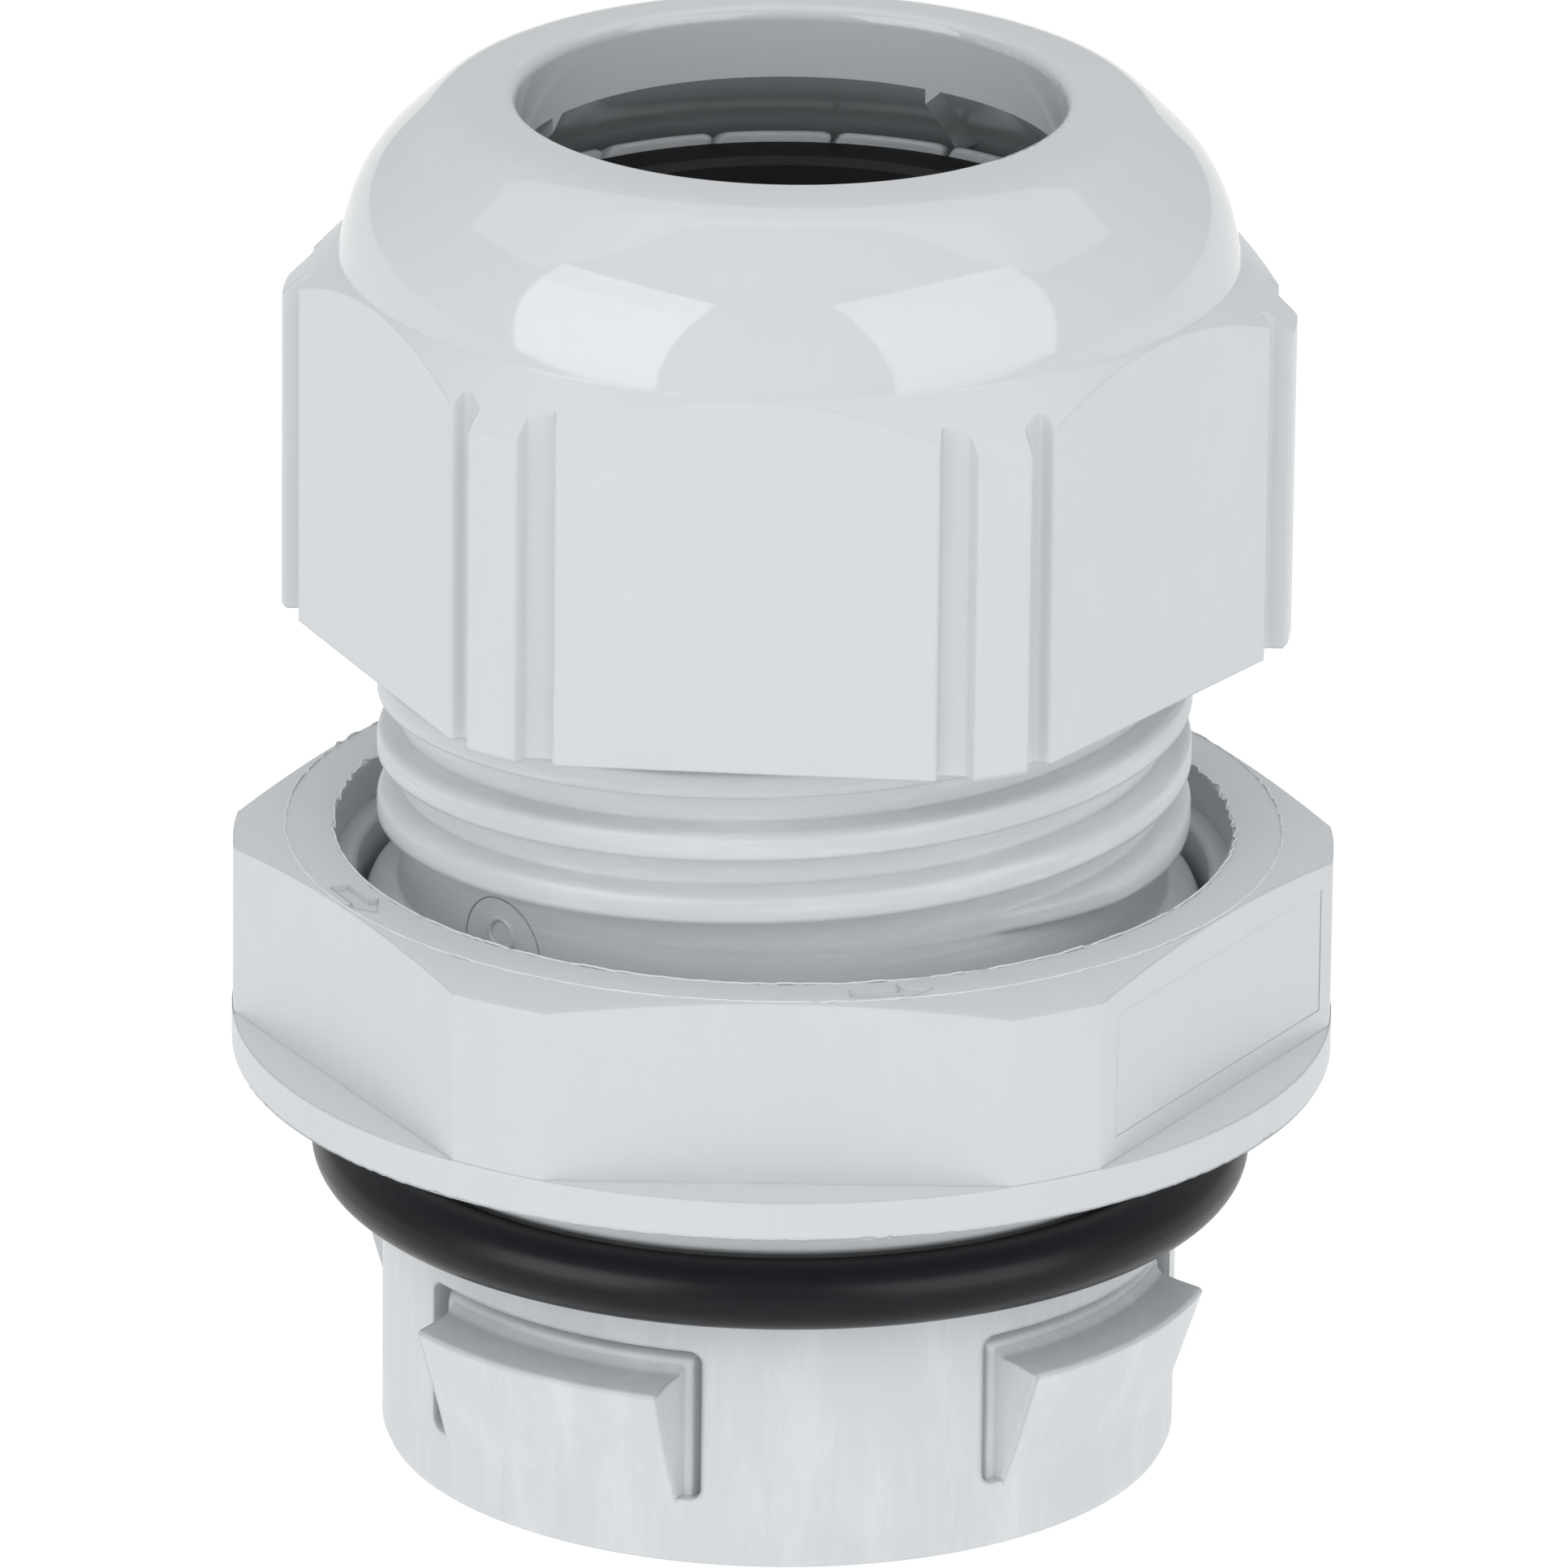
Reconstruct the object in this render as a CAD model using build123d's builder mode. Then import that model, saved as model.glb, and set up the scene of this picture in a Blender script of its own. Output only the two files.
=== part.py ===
# Snap-in cable gland, standard size 32: body, sealing insert, cap nut, ring nut and O-ring.
# Millimetres. The axis of the gland is Z, its lower end stands on z = 0, and -Y is the front.
import math
import os

from build123d import *

# barrel that goes through the panel hole
barrel_r = 16.0
barrel_top = 16.2
barrel_edge = 0.5
barrel_wall = 2.1

# snap tongues, cut free by U-shaped slots
tongue_count = 4
tongue_angle = -35.0
window_half = 6.56
window_low = 2.9
window_high = 9.25
window_corner = 0.5
slot_width = 0.55
tongue_inset = 0.4
tongue_high = 8.85
catch_reach = 1.7
catch_z = 7.8
catch_rise = 0.35
catch_root = 0.3
catch_half = 6.0
catch_flare = 0.35

# shoulder inside the ring nut, and the neck above it
shoulder_step = 0.8
shoulder_top = 23.6
neck_step = 1.4
neck_wall = 2.2

# two-start thread for the cap
thread_depth = 0.9
thread_low = 26.1
thread_high = 39.6
thread_pitch = 2.62
thread_starts = 2
thread_crest = 1.05
thread_foot = 1.38
thread_phase = 29.0
thread_turn = 60.0

# ring of lamellae round the sealing insert
crown_step = 1.1
crown_wall = 1.26
crown_low = 40.6
tip_z = 50.65
lamella_count = 17
slit_width = 0.2
slit_low = 43.2
slit_lean = 14.0
slit_angle = -158.4
notch_half = 0.6
notch_depth = 0.45

# sealing insert
seal_wall = 2.2
seal_low = 38.0
seal_high = 50.3
seat_width = 1.8
seat_depth = 2.0
seal_gap = 0.04

# cap nut
cap_low = 34.55
cap_angle = -5.0
cap_wall = 0.75
panel_step = 0.7
panel_groove = 1.09
rib_step = 2.87
rib_half = 1.17
edge_round = 0.2
dome_step = 0.61
dome_z = 50.07
cap_top = 56.63
mouth_step = 0.1
cap_lip = 0.55
cap_wall_low = 53.7
cap_thread_gap = 0.25
cap_thread_high = 41.6
cap_inner_gap = 0.7
ratchet_count = 4
ratchet_angle = 150.6
ratchet_height = 0.45
ratchet_width = 1.7

# ring nut
nut_low = 16.53
nut_high = 25.8
nut_angle = -0.4
nut_shelf = 0.9
nut_wall = 2.04
nut_corner = 2.06
nut_corner_inset = 0.04
nut_chamfer = 2.16
nut_chamfer_z = 25.2
nut_flange_z = 18.2
nut_mouth_depth = 1.7
nut_gap = 0.3
nut_lip_gap = 0.2
nut_edge_round = 0.35
collar_wall = 0.1

# O-ring
ring_tube = 1.43
ring_z = 12.5
ring_gap = 0.04

# radii that follow from one another, from the barrel out to the cap and the ring nut
hollow_r = barrel_r - barrel_wall
catch_r = barrel_r + catch_reach
shoulder_r = barrel_r + shoulder_step
neck_r = shoulder_r - neck_step
neck_hollow_r = neck_r - neck_wall
thread_r = neck_r + thread_depth
crown_r = neck_r - crown_step
seal_r = crown_r - crown_wall - seal_gap
seal_bore_r = seal_r - seal_wall
seat_r = seal_r - seat_width
cap_bore_r = seal_bore_r + mouth_step
cap_inner_r = crown_r + cap_inner_gap
strip_apothem = thread_r + cap_thread_gap + cap_wall
panel_apothem = strip_apothem + panel_step
rib_r = strip_apothem + rib_step
panel_half = (strip_apothem - 2 * rib_half) * math.tan(math.pi / 6) - panel_groove
dome_r = strip_apothem + dome_step
nut_bore_r = shoulder_r + nut_gap
nut_lip_r = barrel_r + nut_lip_gap
nut_mouth_r = nut_bore_r + nut_shelf
nut_apothem = nut_mouth_r + nut_wall
nut_r = nut_apothem + nut_corner
nut_face_r = nut_r - nut_chamfer
collar_r = nut_bore_r + collar_wall
ring_r = barrel_r + ring_gap + ring_tube
collar_low = ring_z + ring_tube + ring_gap
thread_lead = thread_pitch * thread_starts


def spin(azimuth):
    """Turn about Z that takes the +X direction to this azimuth, 0 being the front."""
    return Rot(0, 0, azimuth - 90)


# O-ring: a plain torus
with BuildPart() as o_ring:
    with BuildSketch(Plane.XZ):
        with Locations((ring_r, ring_z)):
            Circle(ring_tube)
    revolve(axis=Axis.Z)

# what is cut off a round blank to leave six flats with rounded corners
with BuildPart() as nut_flats:
    with BuildSketch(Plane.XY.offset(nut_flange_z)):
        Circle(nut_r + 2)
    extrude(amount=nut_high + 1 - nut_flange_z)
    with BuildSketch(Plane.XY.offset(nut_flange_z)) as nut_outline:
        Circle(nut_r - nut_corner_inset)
        RegularPolygon(nut_apothem, 6, major_radius=False, rotation=nut_angle, mode=Mode.INTERSECT)
        fillet(nut_outline.vertices(), nut_edge_round)
    extrude(amount=nut_high + 1 - nut_flange_z, mode=Mode.SUBTRACT)

# ring nut: the blank, with a flange below the flats and a collar that presses on the O-ring
with BuildPart() as ring_nut:
    with BuildSketch(Plane.XZ):
        with BuildLine():
            Polyline(
                (nut_lip_r, collar_low),
                (collar_r - 0.25, collar_low),
                (collar_r, collar_low + 0.25),
                (collar_r, nut_low),
                (nut_r - 0.15, nut_low),
                (nut_r, nut_low + 0.15),
                (nut_r, nut_chamfer_z),
                (nut_face_r, nut_high),
                (nut_mouth_r, nut_high),
                (nut_mouth_r, nut_high - nut_mouth_depth),
                (nut_bore_r + 0.2, nut_high - nut_mouth_depth),
                (nut_bore_r, nut_high - nut_mouth_depth - 0.2),
                (nut_bore_r, barrel_top - nut_lip_gap + nut_bore_r - nut_lip_r),
                (nut_lip_r, barrel_top - nut_lip_gap),
                close=True,
            )
        make_face()
    revolve(axis=Axis.Z)
    add(nut_flats.part, mode=Mode.SUBTRACT)

# anti-loosening tooth that lies along the inner cone of the cap
tooth_plane = Plane(
    origin=(cap_bore_r - 0.2, 0, cap_wall_low + 0.2),
    x_dir=(0, 1, 0),
    z_dir=(1, 0, -1),
)
tooth = extrude(
    tooth_plane * Polygon((-ratchet_width, 0.6), (0, -ratchet_height), (0, 0.6), align=None),
    amount=4.6,
)

# cap nut: hexagon with raised panels and corner ribs under a glossy dome
dome_height = cap_top - dome_z
dome_width = dome_r - cap_bore_r - cap_lip
cone_drop = rib_r - dome_r
with BuildPart() as cap_nut:
    with BuildSketch(Plane.XZ):
        with BuildLine():
            Polyline(
                (cap_bore_r, cap_top - cap_lip),
                (cap_bore_r, cap_wall_low),
                (cap_inner_r, cap_wall_low - (cap_inner_r - cap_bore_r)),
                (cap_inner_r, cap_thread_high + 1.5),
                (thread_r + cap_thread_gap, cap_thread_high),
                (thread_r + cap_thread_gap, cap_low),
                (rib_r - edge_round, cap_low),
                (rib_r, cap_low + edge_round),
                (rib_r, dome_z - cone_drop),
                (dome_r, dome_z),
            )
            Spline(
                (dome_r, dome_z),
                (dome_r - 0.06 * dome_width, dome_z + 0.264 * dome_height),
                (dome_r - 0.23 * dome_width, dome_z + 0.578 * dome_height),
                (dome_r - 0.49 * dome_width, dome_z + 0.836 * dome_height),
                (cap_bore_r + cap_lip, cap_top),
                tangents=[(-0.16, 1), (-1, 0)],
            )
            RadiusArc((cap_bore_r + cap_lip, cap_top), (cap_bore_r, cap_top - cap_lip), -cap_lip)
        make_face()
    revolve(axis=Axis.Z)
    with BuildSketch(Plane.XY.offset(cap_low)) as cap_outline:
        RegularPolygon(strip_apothem, 6, major_radius=False, rotation=cap_angle)
        for k in range(3):
            Rectangle(2 * panel_half, 2 * panel_apothem, rotation=cap_angle + 60 * k)
            Rectangle(2 * rib_half, 2 * (rib_r + 1), rotation=cap_angle + 30 + 60 * k)
        Circle(rib_r, mode=Mode.INTERSECT)
        fillet(cap_outline.vertices(), edge_round)
    extrude(amount=cap_top - cap_low, mode=Mode.INTERSECT)
    for k in range(ratchet_count):
        add(spin(ratchet_angle + 360 * k / ratchet_count) * tooth)
    with BuildSketch(Plane.XY.offset(cap_wall_low - 2)):
        Circle(cap_bore_r)
    extrude(amount=2 + (cap_top - cap_lip - cap_wall_low), mode=Mode.SUBTRACT)

# sealing insert: a soft ring with a lead-in at each end of its bore
with BuildPart() as sealing_insert:
    with BuildSketch(Plane.XZ):
        with BuildLine():
            Polyline(
                (seal_bore_r + 1.0, seal_low + seal_gap),
                (seal_r - 0.4, seal_low + seal_gap),
                (seal_r, seal_low + seal_gap + 0.4),
                (seal_r, seal_high - 0.15),
                (seal_r - 0.15, seal_high),
                (seal_bore_r + 0.3, seal_high),
                (seal_bore_r, seal_high - 0.3),
                (seal_bore_r, seal_low + seal_gap + 1.0),
                close=True,
            )
        make_face()
    revolve(axis=Axis.Z)

# one start of the cap thread; the second is the same half a turn on
start_z = thread_phase - 2 * thread_pitch + thread_lead * thread_turn / 360
crest = thread_r - neck_r
with BuildPart() as thread_start:
    with BuildLine():
        helix_height = thread_high - start_z + 1.7
        helix = Helix(pitch=thread_lead, height=helix_height, radius=neck_r, center=(0, 0, start_z))
    with BuildSketch(Plane(origin=(neck_r, 0, start_z), x_dir=(1, 0, 0), z_dir=(0, -1, 0))):
        with BuildLine():
            Polyline(
                (-0.4, -0.16),
                (crest, 0),
                (crest, thread_crest - 0.35),
                (crest - 0.07, thread_crest - 0.1),
                (crest - 0.26, thread_crest + 0.08),
                (-0.4, thread_foot + 0.1),
                close=True,
            )
        make_face()
    sweep(path=helix, is_frenet=True)

# the blank that the thread is cut from: square below, tapered above
with BuildPart() as thread_blank:
    with BuildSketch(Plane.XZ):
        Polygon(
            (neck_r - 0.5, thread_low),
            (thread_r + 0.5, thread_low),
            (thread_r + 0.5, thread_high - crest - 0.5),
            (neck_r, thread_high),
            (neck_r - 0.5, thread_high),
            align=None,
        )
    revolve(axis=Axis.Z)
threads = [
    thread_blank.part & Rot(0, 0, thread_turn + 360 * k / thread_starts) * thread_start.part
    for k in range(thread_starts)
]

# one snap tongue: a bowed leaf and the catch wedge on it, both lying at +X
with BuildPart() as leaf:
    with BuildSketch(Plane.XZ):
        with BuildLine():
            Polyline(
                (hollow_r - 1, window_low - 0.5),
                (barrel_r - tongue_inset, window_low - 0.5),
                (barrel_r - tongue_inset, tongue_high - 0.45),
                (barrel_r - tongue_inset - 0.12, tongue_high - 0.16),
                (barrel_r - tongue_inset - 0.45, tongue_high),
                (hollow_r - 1, tongue_high),
                close=True,
            )
        make_face()
    revolve(axis=Axis.Z)
    with BuildSketch(Plane.YZ.offset(barrel_r / 2)):
        with Locations((0, window_high / 2)):
            Rectangle(2 * (window_half - slot_width), 2 * window_high)
    extrude(amount=barrel_r, mode=Mode.INTERSECT)
with BuildPart() as wedge:
    with BuildSketch(Plane.XZ):
        with BuildLine():
            Polyline(
                (hollow_r + 0.5, window_low - 0.4),
                (barrel_r - 0.05, window_low - 0.4),
                (catch_r - 0.07, catch_z - 0.25),
                (catch_r, catch_z - 0.05),
                (catch_r - 0.12, catch_z + 0.08),
                (barrel_r - tongue_inset + catch_root, catch_z + catch_rise),
                (barrel_r - tongue_inset, catch_z + catch_rise + catch_root),
                (hollow_r + 0.5, catch_z + catch_rise + catch_root),
                close=True,
            )
        make_face()
    revolve(axis=Axis.Z)
    with BuildSketch(Plane.XY):
        Polygon(
            (hollow_r, -catch_half + catch_flare),
            (barrel_r - tongue_inset, -catch_half + catch_flare),
            (catch_r, -catch_half),
            (catch_r + 1, -catch_half),
            (catch_r + 1, catch_half),
            (catch_r, catch_half),
            (barrel_r - tongue_inset, catch_half - catch_flare),
            (hollow_r, catch_half - catch_flare),
            align=None,
        )
    extrude(amount=window_high, mode=Mode.INTERSECT)

# what is cut out round one leaf: a window straight through the wall, less the leaf
with BuildPart() as slot:
    with BuildSketch(Plane.YZ.offset(barrel_r / 2)):
        with Locations((0, (window_low + window_high) / 2)):
            RectangleRounded(2 * window_half, window_high - window_low, window_corner)
    extrude(amount=barrel_r)
    add(leaf.part, mode=Mode.SUBTRACT)

# one leaning slit between two lamellae, with a notch that rounds their tips, lying at +X
notch_shift = (tip_z - slit_low) * math.tan(math.radians(slit_lean))
with BuildPart() as slit:
    with BuildSketch(Plane.YZ.offset(crown_r / 2)):
        with Locations((0, slit_low)):
            SlotCenterPoint((0, 5), (0, 0), slit_width, rotation=slit_lean)
        Polygon(
            (-notch_shift, tip_z - notch_depth),
            (-notch_shift + 0.35 * notch_half, tip_z - 0.25 * notch_depth),
            (-notch_shift + notch_half, tip_z + 0.05),
            (-notch_shift - notch_half, tip_z + 0.05),
            (-notch_shift - 0.35 * notch_half, tip_z - 0.25 * notch_depth),
            align=None,
        )
    extrude(amount=crown_r)

# body: barrel, shoulder, neck and crown in one moulding
with BuildPart() as gland_body:
    with BuildSketch(Plane.XZ):
        with BuildLine():
            Polyline(
                (hollow_r, 0),
                (barrel_r - barrel_edge, 0),
                (barrel_r - 0.3 * barrel_edge, 0.3 * barrel_edge),
                (barrel_r, barrel_edge),
                (barrel_r, barrel_top),
                (shoulder_r, barrel_top + 0.8),
                (shoulder_r, shoulder_top - 1.0),
                (shoulder_r - 0.2, shoulder_top - 0.55),
                (shoulder_r - 0.6, shoulder_top - 0.25),
                (neck_r, shoulder_top),
                (neck_r, crown_low - (neck_r - crown_r)),
                (crown_r, crown_low),
                (crown_r, tip_z - 1.15),
                (crown_r - 0.85, tip_z - 0.2),
                (crown_r - 1.1, tip_z),
                (seal_r + seal_gap, tip_z),
                (seal_r + seal_gap, seal_low),
                (seat_r, seal_low),
                (seat_r, seal_low - seat_depth),
                (neck_hollow_r, seal_low - 2 * seat_depth),
                (neck_hollow_r, window_high + 4.0 + hollow_r - neck_hollow_r),
                (hollow_r, window_high + 4.0),
                close=True,
            )
        make_face()
    revolve(axis=Axis.Z)
    add(threads)
    for k in range(tongue_count):
        azimuth = tongue_angle + 360 * k / tongue_count
        add(spin(azimuth) * slot.part, mode=Mode.SUBTRACT)
        add(spin(azimuth) * wedge.part)
    for k in range(lamella_count):
        azimuth = slit_angle + 360 * k / lamella_count
        add(spin(azimuth) * slit.part, mode=Mode.SUBTRACT)

os.makedirs("parts", exist_ok=True)
for label, part in (
    ("gland_body", gland_body.part),
    ("sealing_insert", sealing_insert.part),
    ("cap_nut", cap_nut.part),
    ("ring_nut", ring_nut.part),
    ("o_ring", o_ring.part),
):
    part.label = label
    export_step(part, f"parts/{label}.step")
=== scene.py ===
import math

import bmesh
import bpy
from mathutils import Matrix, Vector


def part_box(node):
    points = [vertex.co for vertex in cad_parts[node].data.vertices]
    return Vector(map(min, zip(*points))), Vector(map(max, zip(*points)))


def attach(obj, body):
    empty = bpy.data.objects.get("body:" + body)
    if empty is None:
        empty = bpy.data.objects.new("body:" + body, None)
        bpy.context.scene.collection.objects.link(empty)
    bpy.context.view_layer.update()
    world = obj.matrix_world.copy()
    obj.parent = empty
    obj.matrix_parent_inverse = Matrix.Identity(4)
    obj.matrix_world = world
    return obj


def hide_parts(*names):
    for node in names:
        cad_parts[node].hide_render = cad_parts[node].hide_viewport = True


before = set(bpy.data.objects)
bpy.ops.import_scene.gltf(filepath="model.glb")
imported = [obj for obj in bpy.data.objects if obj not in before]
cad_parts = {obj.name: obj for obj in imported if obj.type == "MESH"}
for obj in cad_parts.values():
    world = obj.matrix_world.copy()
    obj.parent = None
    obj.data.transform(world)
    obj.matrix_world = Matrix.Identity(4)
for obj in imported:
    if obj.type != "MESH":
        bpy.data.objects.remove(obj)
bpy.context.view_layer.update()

MM = 0.001

# Gland body: one injection moulding in light grey polyamide, with barrel, snap tongues, shoulder,
# neck, thread and lamellae. Its surface is satin, with pale flow marks left by the melt, and its
# neck carries the round mark where the melt came in.
neck_radius = 15.41 * MM
neck_level = 20.0 * MM
thread_lead = 5.24 * MM
grain_strength = 0.35
far_above = 1000 * MM


def linked(tree, kind, inputs=(), **settings):
    """A node of this kind with its settings made and its inputs set or linked."""
    node = tree.nodes.new(kind)
    for key, value in settings.items():
        setattr(node, key, value)
    for key, value in dict(inputs).items():
        if isinstance(value, bpy.types.NodeSocket):
            tree.links.new(value, node.inputs[key])
        else:
            node.inputs[key].default_value = value
    return node


def worked(tree, operation, *terms):
    """The result of this operation on numbers and sockets."""
    return linked(tree, "ShaderNodeMath", dict(enumerate(terms)), operation=operation).outputs[0]


def ramp(tree, value, low, high, start=0.0, end=1.0):
    """Goes from start to end while the value goes from low to high."""
    limits = {"From Min": low, "From Max": high, "To Min": start, "To Max": end}
    return linked(tree, "ShaderNodeMapRange", {"Value": value, **limits}).outputs["Result"]


def blended(tree, share, first, second):
    """A colour between these two, by this share."""
    inputs = {"Factor": share, "A": first, "B": second}
    return linked(tree, "ShaderNodeMix", inputs, data_type="RGBA").outputs["Result"]


def noise(tree, place, scale, **more):
    """A noise node at this place, with its other inputs given by name."""
    return linked(tree, "ShaderNodeTexNoise", {"Vector": place, "Scale": scale, **more})


def object_place(tree):
    """The place on the object, in its own coordinates."""
    return linked(tree, "ShaderNodeTexCoord").outputs["Object"]


def new_material(name):
    """A new material and its shader."""
    material = bpy.data.materials.new(name)
    material.use_nodes = True
    return material, material.node_tree.nodes["Principled BSDF"]


def grey_polyamide(
    name, roughness, marks_seen, fibres_seen, stretch, edge_radius, turned_level=far_above
):
    """Light grey moulded polyamide: cloudy tone, pale flow marks drawn out one way, fine fibres, a
    fine grain and soft edges. Above the turned level the marks run round the axis instead."""
    grey = (0.655, 0.685, 0.703, 1)
    cloud_grey = (0.632, 0.662, 0.682, 1)
    mark_grey = (0.80, 0.82, 0.83, 1)
    cloud_scale = 130
    mark_scale = 420
    mark_from = 0.48
    mark_full = 0.74
    fibre_scale = 900
    fibre_value = 0.5
    fibre_width = 0.012
    patch_from = 0.45
    patch_full = 0.62
    flow_tilt = (0.0, 0.06, 0.35)
    turned_band = 0.1 * MM
    turned_radius = 16.0 * MM
    turned_stretch = 0.4
    turned_fineness = 5.0
    grain_scale = 5200
    grain_depth = 0.010 * MM
    smoothest = 0.88
    roughest = 1.15
    material, shader = new_material(name)
    tree = material.node_tree
    place = object_place(tree)
    spot = linked(tree, "ShaderNodeSeparateXYZ", {"Vector": place})
    clouds = noise(tree, place, cloud_scale, Detail=4.0).outputs["Fac"]
    tone = blended(tree, clouds, grey, cloud_grey)

    flow = {"Vector": place, "Scale": stretch, "Rotation": flow_tilt}
    straight = linked(tree, "ShaderNodeMapping", flow)
    backward = worked(tree, "MULTIPLY", spot.outputs["Y"], -1.0)
    azimuth = worked(tree, "ARCTAN2", spot.outputs["X"], backward)
    around = worked(tree, "MULTIPLY", azimuth, turned_radius * turned_stretch)
    lead_per_radian = thread_lead / (2 * math.pi)
    climb = worked(tree, "MULTIPLY_ADD", azimuth, -lead_per_radian, spot.outputs["Z"])
    scuffs = worked(tree, "MULTIPLY", climb, turned_fineness)
    turned = linked(tree, "ShaderNodeCombineXYZ", {"X": around, "Z": scuffs})
    is_turned = ramp(tree, spot.outputs["Z"], turned_level, turned_level + turned_band)
    ways = {0: is_turned, 4: straight.outputs["Vector"], 5: turned.outputs["Vector"]}
    drawn = linked(tree, "ShaderNodeMix", ways, data_type="VECTOR").outputs[1]

    marks = noise(tree, drawn, mark_scale, Detail=6.0, Roughness=0.7).outputs["Fac"]
    thin_marks = ramp(tree, marks, mark_from, mark_full, 0.0, marks_seen)
    fibres = noise(tree, drawn, fibre_scale, Detail=2.0, Distortion=0.6).outputs["Fac"]
    from_line = worked(tree, "ABSOLUTE", worked(tree, "SUBTRACT", fibres, fibre_value))
    on_line = ramp(tree, from_line, 0.0, fibre_width, fibres_seen, 0.0)
    in_patch = ramp(tree, clouds, patch_from, patch_full)
    fibre_marks = worked(tree, "MULTIPLY", on_line, in_patch)
    paler = worked(tree, "MAXIMUM", thin_marks, fibre_marks)
    streaked = blended(tree, paler, tone, mark_grey)

    grain = noise(tree, place, grain_scale, Detail=3.0).outputs["Fac"]
    edges = linked(tree, "ShaderNodeBevel", {"Radius": edge_radius}, name="soft edges", samples=6)
    relief = {"Height": grain, "Strength": grain_strength, "Distance": grain_depth}
    relief["Normal"] = edges.outputs["Normal"]
    bump = linked(tree, "ShaderNodeBump", relief, name="grain")
    polish = ramp(tree, clouds, 0.0, 1.0, roughness * smoothest, roughness * roughest)
    tree.links.new(streaked, shader.inputs["Base Color"])
    tree.links.new(polish, shader.inputs["Roughness"])
    tree.links.new(bump.outputs["Normal"], shader.inputs["Normal"])
    return material


def on_circle(azimuth, radius, along=0.0):
    """The x and y of a point at this azimuth (0 is the front), moved along the tangent."""
    a = math.radians(azimuth)
    return (
        radius * math.sin(a) + along * math.cos(a),
        -radius * math.cos(a) + along * math.sin(a),
    )


def frozen(maker, name):
    """The plain mesh object that this object's modifiers make; the maker is removed."""
    bpy.context.view_layer.update()
    graph = bpy.context.evaluated_depsgraph_get()
    mesh = bpy.data.meshes.new_from_object(maker.evaluated_get(graph))
    mesh.name = name
    piece = bpy.data.objects.new(name, mesh)
    bpy.context.scene.collection.objects.link(piece)
    bpy.data.objects.remove(maker)
    return piece


def carved(node, tool, name, material):
    """A new object for this node: its mesh with the triangles joined, less the tool."""
    merge_distance = 0.001 * MM
    sharp_from = math.radians(24)
    bmesh.ops.recalc_face_normals(tool, faces=tool.faces)
    tool_mesh = bpy.data.meshes.new(name + " tool")
    tool.to_mesh(tool_mesh)
    tool.free()
    cutter = bpy.data.objects.new(name + "_tool", tool_mesh)
    blank_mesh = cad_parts[node].data.copy()
    if "custom_normal" in blank_mesh.attributes:
        blank_mesh.attributes.remove(blank_mesh.attributes["custom_normal"])
    joined = bmesh.new()
    joined.from_mesh(blank_mesh)
    bmesh.ops.remove_doubles(joined, verts=joined.verts, dist=merge_distance)
    joined.to_mesh(blank_mesh)
    joined.free()
    blank = bpy.data.objects.new(name + "_blank", blank_mesh)
    for helper in (cutter, blank):
        bpy.context.scene.collection.objects.link(helper)
    cutting = blank.modifiers.new("carving", "BOOLEAN")
    cutting.operation = "DIFFERENCE"
    cutting.solver = "EXACT"
    cutting.object = cutter
    piece = frozen(blank, name)
    bpy.data.objects.remove(cutter)
    piece.data.materials.clear()
    piece.data.materials.append(material)
    for face in piece.data.polygons:
        face.use_smooth = True
        face.material_index = 0
    piece.data.set_sharp_from_angle(angle=sharp_from)
    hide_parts(node)
    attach(piece, node)
    return piece


body_grey = grey_polyamide(
    "body polyamide",
    roughness=0.36,
    marks_seen=0.62,
    fibres_seen=0.28,
    stretch=(1.0, 1.0, 0.22),
    edge_radius=0.34 * MM,
    turned_level=neck_level,
)

# Run-out of the second thread start: its tool clears the neck on the left of the front and thins
# out towards the right, where the start fades in.
past_thread = 16.9 * MM
start_azimuth = -30.0
start_level = 24.633 * MM
clear_from = -44
clear_step = 2
runout_from = 32.0
runout_to = 66.0
runout_low = 25.3 * MM
runout_band = 2.0 * MM
runout_tip = 0.2 * MM
runout_tool = bmesh.new()
rows = []
for azimuth in range(clear_from, int(runout_to) + 1, clear_step):
    fade = min(max((azimuth - runout_from) / (runout_to - runout_from), 0.0), 1.0)
    inner = neck_radius + fade * (past_thread - runout_tip - neck_radius)
    top = start_level + thread_lead * (azimuth - start_azimuth) / 360 + runout_band
    corners = ((inner, runout_low), (past_thread, runout_low), (past_thread, top), (inner, top))
    rows.append([runout_tool.verts.new((*on_circle(azimuth, r), z)) for r, z in corners])
for row, following in zip(rows, rows[1:]):
    for k in range(4):
        n = (k + 1) % 4
        runout_tool.faces.new((row[k], row[n], following[n], following[k]))
runout_tool.faces.new(list(reversed(rows[0])))
runout_tool.faces.new(rows[-1])
gland_body = carved("gland_body", runout_tool, "moulded_body", body_grey)


def named_inputs(tree, values):
    """Opens a geometry tree with these named number inputs; returns their sockets by name."""
    tree.interface.new_socket("Geometry", in_out="OUTPUT", socket_type="NodeSocketGeometry")
    for name, value in values.items():
        socket = tree.interface.new_socket(name, in_out="INPUT", socket_type="NodeSocketFloat")
        socket.default_value = value
    return tree.nodes.new("NodeGroupInput").outputs


def vector(tree, operation, *terms, **named):
    """The result of this operation on vectors; its scale is given by name."""
    inputs = {**dict(enumerate(terms)), **named}
    return linked(tree, "ShaderNodeVectorMath", inputs, operation=operation).outputs["Vector"]


def moved(tree, shape, offset):
    """The shape with its points moved by this offset."""
    inputs = {"Geometry": shape, "Offset": offset}
    return linked(tree, "GeometryNodeSetPosition", inputs).outputs["Geometry"]


def circle(tree, radius, points):
    """A circle of this many points round the origin."""
    inputs = {"Resolution": points, "Radius": radius}
    return linked(tree, "GeometryNodeCurvePrimitiveCircle", inputs).outputs["Curve"]


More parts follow.
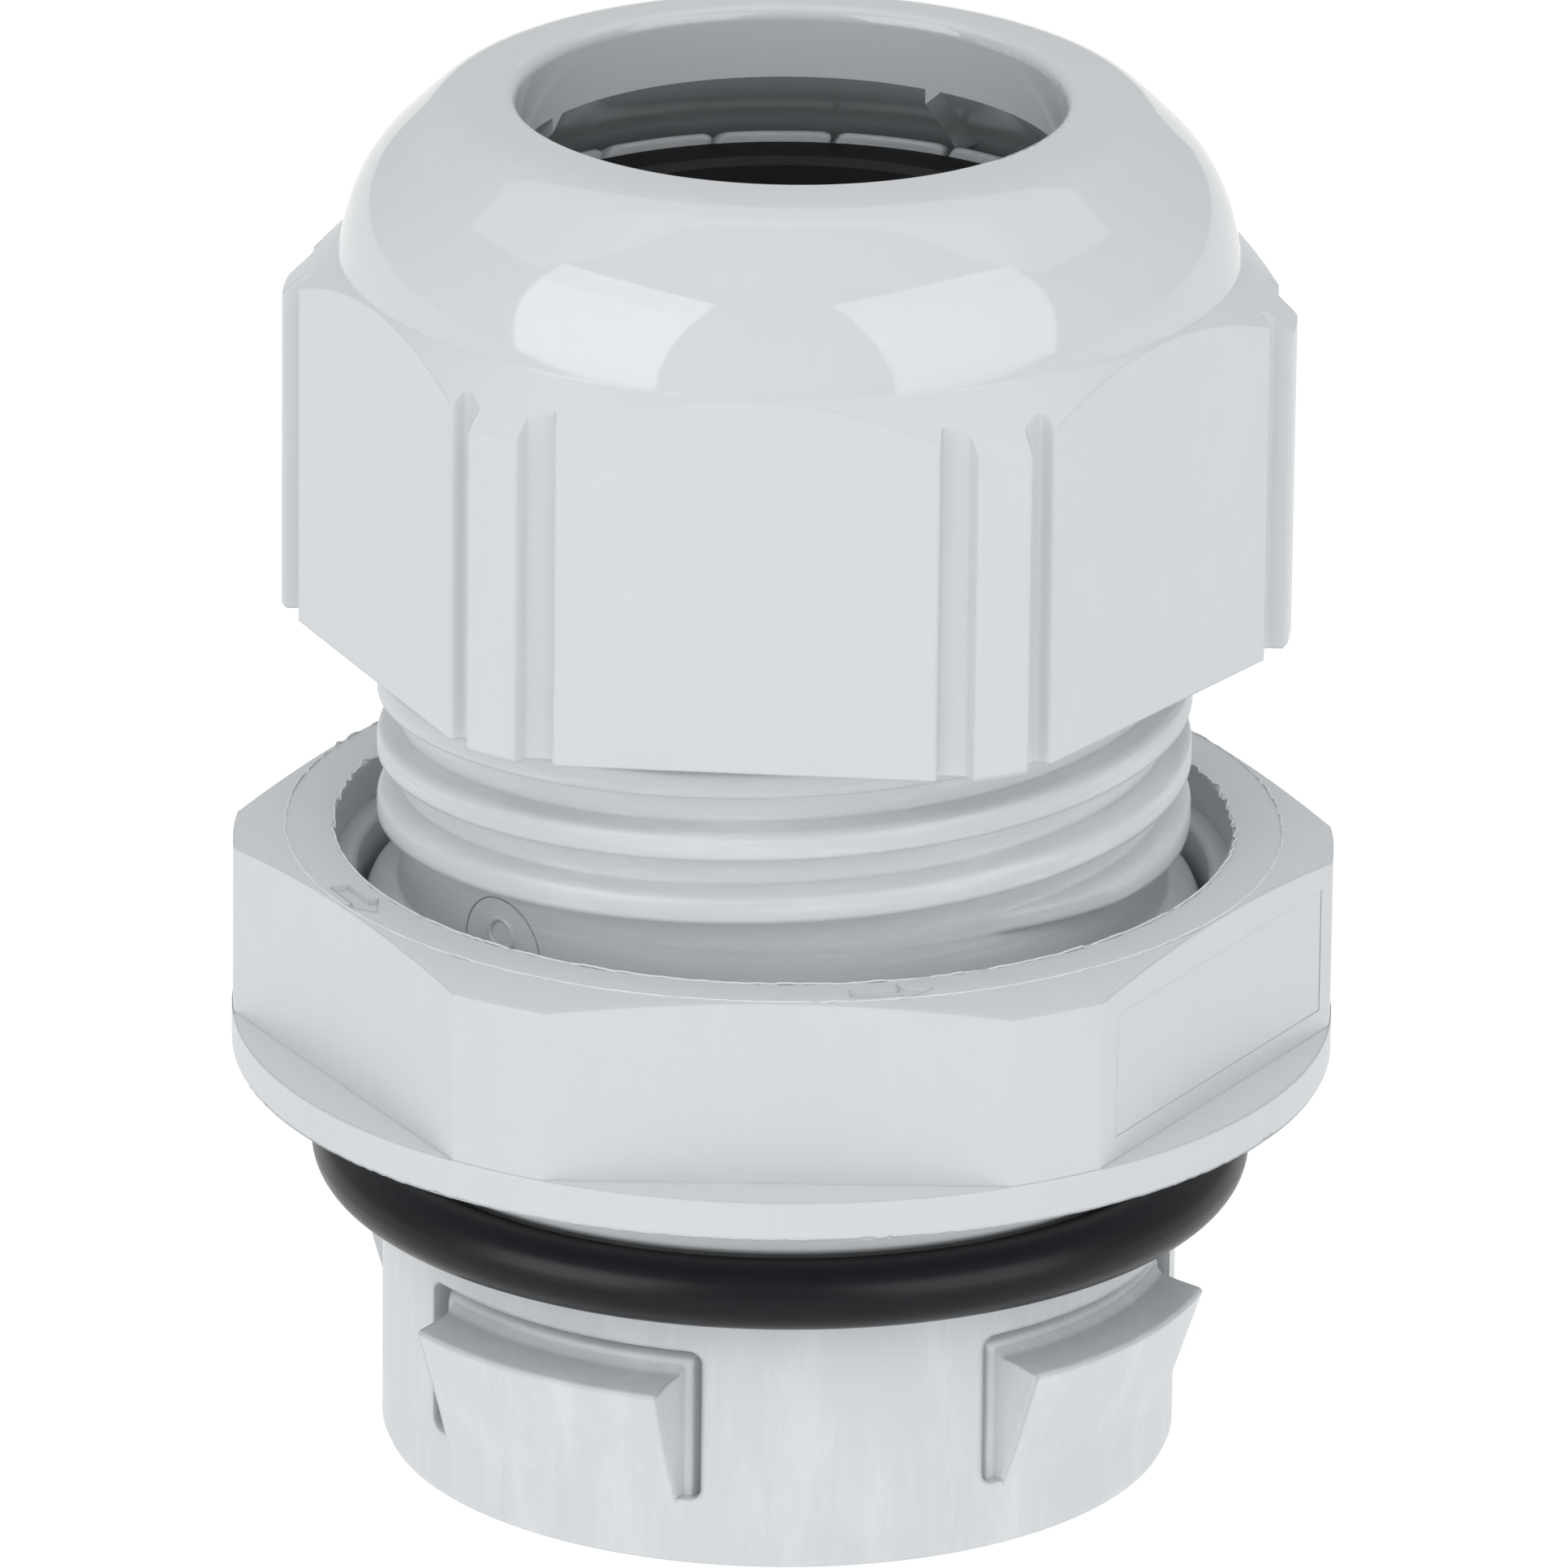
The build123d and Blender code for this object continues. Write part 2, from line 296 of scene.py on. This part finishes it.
def swept(tree, path, section):
    """The mesh of this section run along this path."""
    inputs = {"Curve": path, "Profile Curve": section}
    return linked(tree, "GeometryNodeCurveToMesh", inputs).outputs["Mesh"]


def grown(name, tree, sizes, shape, material):
    """Ends the tree with this shape in this material; returns the plain mesh object it makes."""
    smooth = linked(tree, "GeometryNodeSetShadeSmooth", {"Geometry": shape}).outputs["Geometry"]
    real = linked(tree, "GeometryNodeRealizeInstances", {"Geometry": smooth}).outputs["Geometry"]
    coat = {"Geometry": real, "Material": material}
    coated = linked(tree, "GeometryNodeSetMaterial", coat).outputs["Geometry"]
    linked(tree, "NodeGroupOutput", {"Geometry": coated})
    maker = bpy.data.objects.new(name + "_maker", bpy.data.meshes.new(name))
    bpy.context.scene.collection.objects.link(maker)
    modifier = maker.modifiers.new(name, "NODES")
    modifier.node_group = tree
    for item in tree.interface.items_tree:
        if item.item_type == "SOCKET" and item.in_out == "INPUT" and item.name in sizes:
            modifier[item.identifier] = sizes[item.name]
    return frozen(maker, name)


def gate_ring(name, azimuth, level, ring_radius, bead, raggedness):
    """A ring of thin relief wrapped on the neck, part of the mark where the melt came in."""
    crumb_scale = 1600.0
    half = (0.5, 0.5, 0.5)
    tree = bpy.data.node_groups.new(name, "GeometryNodeTree")
    sizes = {
        "Azimuth": math.radians(azimuth),
        "Level": level,
        "Ring Radius": ring_radius,
        "Neck Radius": neck_radius,
        "Bead": bead,
        "Raggedness": raggedness,
    }
    given = named_inputs(tree, sizes)
    spot = linked(tree, "GeometryNodeInputPosition").outputs["Position"]
    crumbs = noise(tree, spot, crumb_scale, Detail=3.0).outputs["Color"]
    centred = vector(tree, "SUBTRACT", crumbs, half)
    shifted = vector(tree, "SCALE", centred, Scale=given["Raggedness"])
    rim = circle(tree, given["Ring Radius"], points=120)
    flat_ring = swept(tree, moved(tree, rim, shifted), circle(tree, given["Bead"], points=10))
    here = linked(tree, "ShaderNodeSeparateXYZ", {"Vector": spot})
    along = worked(tree, "DIVIDE", here.outputs["X"], given["Neck Radius"])
    turn = worked(tree, "ADD", along, given["Azimuth"])
    reach = worked(tree, "ADD", here.outputs["Z"], given["Neck Radius"])
    x = worked(tree, "MULTIPLY", worked(tree, "SINE", turn), reach)
    y = worked(tree, "MULTIPLY", worked(tree, "COSINE", turn), reach)
    front_y = worked(tree, "MULTIPLY", y, -1.0)
    z = worked(tree, "ADD", here.outputs["Y"], given["Level"])
    wrapped = linked(tree, "ShaderNodeCombineXYZ", {"X": x, "Y": front_y, "Z": z})
    wrapping = {"Geometry": flat_ring, "Position": wrapped.outputs["Vector"]}
    placed = linked(tree, "GeometryNodeSetPosition", wrapping)
    ring = grown(name, tree, sizes, placed.outputs["Geometry"], body_grey)
    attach(ring, "gland_body")


gate_ring(
    "gate_rim",
    azimuth=-46.4,
    level=24.3 * MM,
    ring_radius=2.15 * MM,
    bead=0.03 * MM,
    raggedness=0.0,
)
gate_ring(
    "gate_vestige",
    azimuth=-46.2,
    level=25.0 * MM,
    ring_radius=0.66 * MM,
    bead=0.13 * MM,
    raggedness=0.2 * MM,
)

# O-ring: black nitrile rubber cord moulded as a ring, lying round the barrel under the ring nut.
# The two halves of its mould leave a hair-thin flash line round the outside.
ring_low, ring_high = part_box("o_ring")
ring_tube = (ring_high.z - ring_low.z) / 2
line_height = 0.015 * MM
line_half_width = 0.07 * MM
ring_sizes = {
    "Radius": ring_high.x - ring_tube,
    "Tube": ring_tube - line_height,
    "Level": (ring_high.z + ring_low.z) / 2,
    "Flash": line_height,
}


def black_rubber(name, black, bloom, roughness, bloom_scale, sheen_level):
    """Satin black elastomer with a slightly blue bloom."""
    skin_scale = 3800
    skin_strength = 0.3
    skin_depth = 0.01 * MM
    smoothest = 0.85
    roughest = 1.2
    material, shader = new_material(name)
    tree = material.node_tree
    place = object_place(tree)
    dust = noise(tree, place, bloom_scale, Detail=5.0).outputs["Fac"]
    skin = noise(tree, place, skin_scale, Detail=3.0).outputs["Fac"]
    relief = {"Height": skin, "Strength": skin_strength, "Distance": skin_depth}
    bump = linked(tree, "ShaderNodeBump", relief)
    polish = ramp(tree, dust, 0.0, 1.0, roughness * smoothest, roughness * roughest)
    shader.inputs["Specular IOR Level"].default_value = sheen_level
    tree.links.new(blended(tree, dust, black, bloom), shader.inputs["Base Color"])
    tree.links.new(polish, shader.inputs["Roughness"])
    tree.links.new(bump.outputs["Normal"], shader.inputs["Normal"])
    return material


ring_rubber = black_rubber(
    "o-ring rubber",
    black=(0.0036, 0.0040, 0.0066, 1),
    bloom=(0.0070, 0.0076, 0.0108, 1),
    roughness=0.31,
    bloom_scale=700,
    sheen_level=0.23,
)
ring_tree = bpy.data.node_groups.new("o-ring with flash line", "GeometryNodeTree")
ring_given = named_inputs(ring_tree, ring_sizes)
ring_path = circle(ring_tree, ring_given["Radius"], points=256)
cord = swept(ring_tree, ring_path, circle(ring_tree, ring_given["Tube"], points=64))
cord_spot = linked(ring_tree, "GeometryNodeInputPosition").outputs["Position"]
cord_height = linked(ring_tree, "ShaderNodeSeparateXYZ", {"Vector": cord_spot}).outputs["Z"]
from_middle = worked(ring_tree, "ABSOLUTE", cord_height)
near_middle = ramp(ring_tree, from_middle, 0.0, line_half_width, 1.0, 0.0)
line_reach = worked(ring_tree, "MULTIPLY", near_middle, ring_given["Flash"])
outwards = linked(ring_tree, "GeometryNodeInputNormal").outputs["Normal"]
lined_cord = moved(ring_tree, cord, vector(ring_tree, "SCALE", outwards, Scale=line_reach))
ring_lift = linked(ring_tree, "ShaderNodeCombineXYZ", {"Z": ring_given["Level"]})
placed_cord = moved(ring_tree, lined_cord, ring_lift.outputs["Vector"])
o_ring = grown("rubber_o_ring", ring_tree, ring_sizes, placed_cord, ring_rubber)
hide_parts("o_ring")
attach(o_ring, "o_ring")

# Ring nut: light grey polyamide, six flats on a round blank. It presses the O-ring on the panel,
# its two arrows, sunk into the top face, point the way it closes, and ragged flash is left on the
# edges where the parts of its mould met.
nut_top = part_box("ring_nut")[1].z
nut_foot = 16.53 * MM
nut_flat_reach = 20.04 * MM
nut_mouth_radius = 18.0 * MM
nut_face_radius = 19.94 * MM
nut_lip_radius = 21.97 * MM

arrow_azimuths = (-61.5, 13.0)
arrow_radius = 19.2 * MM
arrow_length = 3.3 * MM
arrow_head = 1.3 * MM
arrow_half = 0.80 * MM
shaft_half = 0.38 * MM
arrow_depth = 0.20 * MM

insert_azimuth = 59.6
insert_left = -8.0 * MM
insert_right = 8.4 * MM
insert_low = 19.15 * MM
insert_high = 24.3 * MM
insert_depth = 0.03 * MM
tool_spare = 1.0 * MM

nut_grey = grey_polyamide(
    "nut polyamide",
    roughness=0.38,
    marks_seen=0.11,
    fibres_seen=0.05,
    stretch=(1.0, 1.0, 0.5),
    edge_radius=0.24 * MM,
)


def prism(tool, outline, low, high):
    """Adds an upright closed prism with this outline to the cutting tool."""
    foot = [tool.verts.new((x, y, low)) for x, y in outline]
    head = [tool.verts.new((x, y, high)) for x, y in outline]
    tool.faces.new(list(reversed(foot)))
    tool.faces.new(head)
    for k in range(len(outline)):
        n = (k + 1) % len(outline)
        tool.faces.new((foot[k], foot[n], head[n], head[k]))


arrow_shape = (
    (0.0, -shaft_half),
    (arrow_length - arrow_head, -shaft_half),
    (arrow_length - arrow_head, -arrow_half),
    (arrow_length, 0.0),
    (arrow_length - arrow_head, arrow_half),
    (arrow_length - arrow_head, shaft_half),
    (0.0, shaft_half),
)
mark_tool = bmesh.new()
for azimuth in arrow_azimuths:
    tail = azimuth - math.degrees(arrow_length / 2 / arrow_radius)
    outline = [
        on_circle(tail + math.degrees(along / arrow_radius), arrow_radius - across)
        for along, across in arrow_shape
    ]
    prism(mark_tool, outline, nut_top - arrow_depth, nut_top + tool_spare)
insert_outline = [
    on_circle(insert_azimuth, nut_flat_reach + tool_spare, insert_left),
    on_circle(insert_azimuth, nut_flat_reach + tool_spare, insert_right),
    on_circle(insert_azimuth, nut_flat_reach - insert_depth, insert_right),
    on_circle(insert_azimuth, nut_flat_reach - insert_depth, insert_left),
]
prism(mark_tool, insert_outline, insert_low, insert_high)
ring_nut = carved("ring_nut", mark_tool, "moulded_ring_nut", nut_grey)

flash_dull = (0.66, 0.69, 0.70, 1)
flash_bright = (0.86, 0.88, 0.89, 1)
flash_cloud_scale = 1800.0
flash_pale, flash_shader = new_material("thin flash")
flash_tree = flash_pale.node_tree
flash_clouds = noise(flash_tree, object_place(flash_tree), flash_cloud_scale).outputs["Fac"]
flash_tone = blended(flash_tree, flash_clouds, flash_dull, flash_bright)
flash_tree.links.new(flash_tone, flash_shader.inputs["Base Color"])
flash_shader.inputs["Roughness"].default_value = 0.45


def flash_ring(name, radius, level, thickness, raggedness, patchiness, fineness, material):
    """A hair-thin ragged ridge of flash round the nut, stronger in some patches than in others."""
    patch_scale = 90.0
    patch_full = 0.75
    least_swell = 0.25
    sunk_share = 0.40
    tree = bpy.data.node_groups.new(name, "GeometryNodeTree")
    sizes = {
        "Radius": radius,
        "Level": level,
        "Thickness": thickness,
        "Raggedness": raggedness,
        "Patchiness": patchiness,
    }
    given = named_inputs(tree, sizes)
    spot = linked(tree, "GeometryNodeInputPosition").outputs["Position"]
    crumbs = noise(tree, spot, fineness, Detail=5.0).outputs["Fac"]
    patches = noise(tree, spot, patch_scale, Detail=1.0).outputs["Fac"]
    swell = ramp(tree, patches, given["Patchiness"], patch_full, least_swell, 1.0)
    raised = worked(tree, "SUBTRACT", crumbs, sunk_share)
    crumb_reach = worked(tree, "MULTIPLY", raised, given["Raggedness"])
    reach = worked(tree, "MULTIPLY", crumb_reach, swell)
    sideways = vector(tree, "SCALE", vector(tree, "NORMALIZE", spot), Scale=reach)
    upward = linked(tree, "ShaderNodeCombineXYZ", {"Z": reach}).outputs["Vector"]
    both = vector(tree, "ADD", sideways, upward)
    rim = circle(tree, given["Radius"], points=1100)
    ridge = swept(tree, moved(tree, rim, both), circle(tree, given["Thickness"], points=6))
    lift = linked(tree, "ShaderNodeCombineXYZ", {"Z": given["Level"]}).outputs["Vector"]
    ring = grown(name, tree, sizes, moved(tree, ridge, lift), material)
    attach(ring, "ring_nut")


flash_ring(
    "mouth_flash",
    radius=nut_mouth_radius,
    level=nut_top - 0.01 * MM,
    thickness=0.045 * MM,
    raggedness=0.85 * MM,
    patchiness=0.28,
    fineness=1200,
    material=flash_pale,
)
flash_ring(
    "face_flash",
    radius=nut_face_radius,
    level=nut_top - 0.015 * MM,
    thickness=0.04 * MM,
    raggedness=0.40 * MM,
    patchiness=0.30,
    fineness=1200,
    material=flash_pale,
)
flash_ring(
    "lip_flash",
    radius=nut_lip_radius,
    level=nut_foot + 0.03 * MM,
    thickness=0.045 * MM,
    raggedness=0.80 * MM,
    patchiness=0.38,
    fineness=1900,
    material=nut_grey,
)

# Sealing insert: soft black rubber ring, moulded by itself and pushed into the ring of lamellae,
# which bend in and close it on the cable when the cap nut is tightened.
seal_rubber = black_rubber(
    "seal rubber",
    black=(0.0050, 0.0053, 0.0068, 1),
    bloom=(0.0090, 0.0094, 0.0118, 1),
    roughness=0.66,
    bloom_scale=1400,
    sheen_level=0.30,
)


def dress(node, material):
    """Gives a CAD node this material all over."""
    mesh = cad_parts[node].data
    mesh.materials.clear()
    mesh.materials.append(material)


dress("sealing_insert", seal_rubber)

# Cap nut: light grey polyamide, screwed on the body's thread. It is moulded against a polished
# cavity at its dome, which comes out glossy, and a plain one at its flats, which stay satin.
cap_edge_radius = 0.16 * MM
dome_foot = 50.0 * MM
dome_band = 0.2 * MM
dome_roughness = 0.06
dome_grain = 0.03
dome_edge_radius = 0.01 * MM
cap_grey = grey_polyamide(
    "cap polyamide",
    roughness=0.34,
    marks_seen=0.10,
    fibres_seen=0.0,
    stretch=(1.0, 1.0, 0.6),
    edge_radius=cap_edge_radius,
)
cap_tree = cap_grey.node_tree
cap_roughness = cap_tree.nodes["Principled BSDF"].inputs["Roughness"]
cap_satin = cap_roughness.links[0].from_socket
cap_spot = linked(cap_tree, "ShaderNodeSeparateXYZ", {"Vector": object_place(cap_tree)})
on_dome = ramp(cap_tree, cap_spot.outputs["Z"], dome_foot, dome_foot + dome_band)
finishes = {0: on_dome, 2: cap_satin, 3: dome_roughness}
cap_finish = linked(cap_tree, "ShaderNodeMix", finishes, data_type="FLOAT").outputs[0]
grain_seen = ramp(cap_tree, on_dome, 0.0, 1.0, grain_strength, dome_grain)
edge_seen = ramp(cap_tree, on_dome, 0.0, 1.0, cap_edge_radius, dome_edge_radius)
cap_tree.links.new(cap_finish, cap_roughness)
cap_tree.links.new(grain_seen, cap_tree.nodes["grain"].inputs["Strength"])
cap_tree.links.new(edge_seen, cap_tree.nodes["soft edges"].inputs["Radius"])
dress("cap_nut", cap_grey)

# Floor and studio: a pale floor that glows a little, so that no shadow greys it, a bright room, a
# softbox on each side, one in front and one above. The front one lights without being mirrored,
# and the three gleams are only mirrored, most clearly by the dome and the O-ring.
floor_width = 6.0
bpy.ops.mesh.primitive_plane_add(size=floor_width)
floor = bpy.context.object
floor.name = "floor"
floor_paint, floor_shader = new_material("pale floor")
floor_shader.inputs["Base Color"].default_value = (0.28, 0.28, 0.28, 1)
floor_shader.inputs["Roughness"].default_value = 0.9
floor_shader.inputs["Specular IOR Level"].default_value = 0.0
floor_shader.inputs["Emission Color"].default_value = (1.0, 1.0, 1.0, 1)
floor_shader.inputs["Emission Strength"].default_value = 0.83
floor.data.materials.append(floor_paint)

world = bpy.data.worlds.new("studio room")
world.use_nodes = True
room = world.node_tree.nodes["Background"]
room.inputs["Color"].default_value = (1.0, 1.0, 1.0, 1)
room.inputs["Strength"].default_value = 0.60
bpy.context.scene.world = world
bpy.context.scene.view_settings.view_transform = "Standard"


def softbox(name, azimuth, elevation, distance, size, power, lights=True, mirrored=True):
    """A rectangular softbox in this direction (0 is the front, and over 90 degrees up is past the
    zenith), aimed at the middle of the gland, its size and distance in metres, power in watts."""
    aim_level = 30 * MM
    light = bpy.data.lights.new(name, "AREA")
    light.shape = "RECTANGLE"
    light.size, light.size_y = size
    light.energy = power
    lamp = bpy.data.objects.new(name, light)
    bpy.context.scene.collection.objects.link(lamp)
    a = math.radians(azimuth)
    e = math.radians(elevation)
    aim = Matrix.Translation((0, 0, aim_level))
    turn = Matrix.Rotation(a, 4, "Z") @ Matrix.Rotation(math.pi / 2 - e, 4, "X")
    lamp.matrix_world = aim @ turn @ Matrix.Translation((0, 0, distance))
    lamp.visible_diffuse = lights
    lamp.visible_glossy = mirrored


softbox("left softbox", azimuth=-52, elevation=20, distance=0.8, size=(0.62, 0.55), power=0.62)
softbox("right softbox", azimuth=48, elevation=24, distance=0.8, size=(0.70, 0.62), power=0.40)
softbox(
    "front softbox",
    azimuth=0,
    elevation=46,
    distance=0.9,
    size=(0.70, 0.45),
    power=1.40,
    mirrored=False,
)
softbox("top light", azimuth=0, elevation=78, distance=0.9, size=(1.50, 0.50), power=1.05)
softbox(
    "left gleam",
    azimuth=-52,
    elevation=26,
    distance=0.8,
    size=(0.62, 0.75),
    power=3.7,
    lights=False,
)
softbox(
    "right gleam",
    azimuth=48,
    elevation=28,
    distance=0.8,
    size=(0.70, 0.80),
    power=3.4,
    lights=False,
)
softbox(
    "top gleam",
    azimuth=0,
    elevation=102,
    distance=0.9,
    size=(2.20, 0.65),
    power=3.4,
    lights=False,
)

# Camera: a long lens from the front, a little above, as the photograph was taken. It is pitched
# and rolled by a degree or two, which sets the gland in the picture as it stands there.
camera_distance = 790.1 * MM
camera_elevation = math.radians(22.2692)
camera_pitch = math.radians(1.86845)
camera_roll = math.radians(-0.64232)
camera = bpy.data.objects.new("camera", bpy.data.cameras.new("camera"))
camera.data.sensor_width = 36.0
camera.data.lens = 447.22
camera_reach = camera_distance * math.cos(camera_elevation)
camera_height = camera_distance * math.sin(camera_elevation)
stand = Matrix.Translation((0, -camera_reach, camera_height))
tilt = Matrix.Rotation(math.pi / 2 - camera_elevation + camera_pitch, 4, "X")
camera.matrix_world = stand @ tilt @ Matrix.Rotation(-camera_roll, 4, "Z")
bpy.context.scene.collection.objects.link(camera)
bpy.context.scene.camera = camera
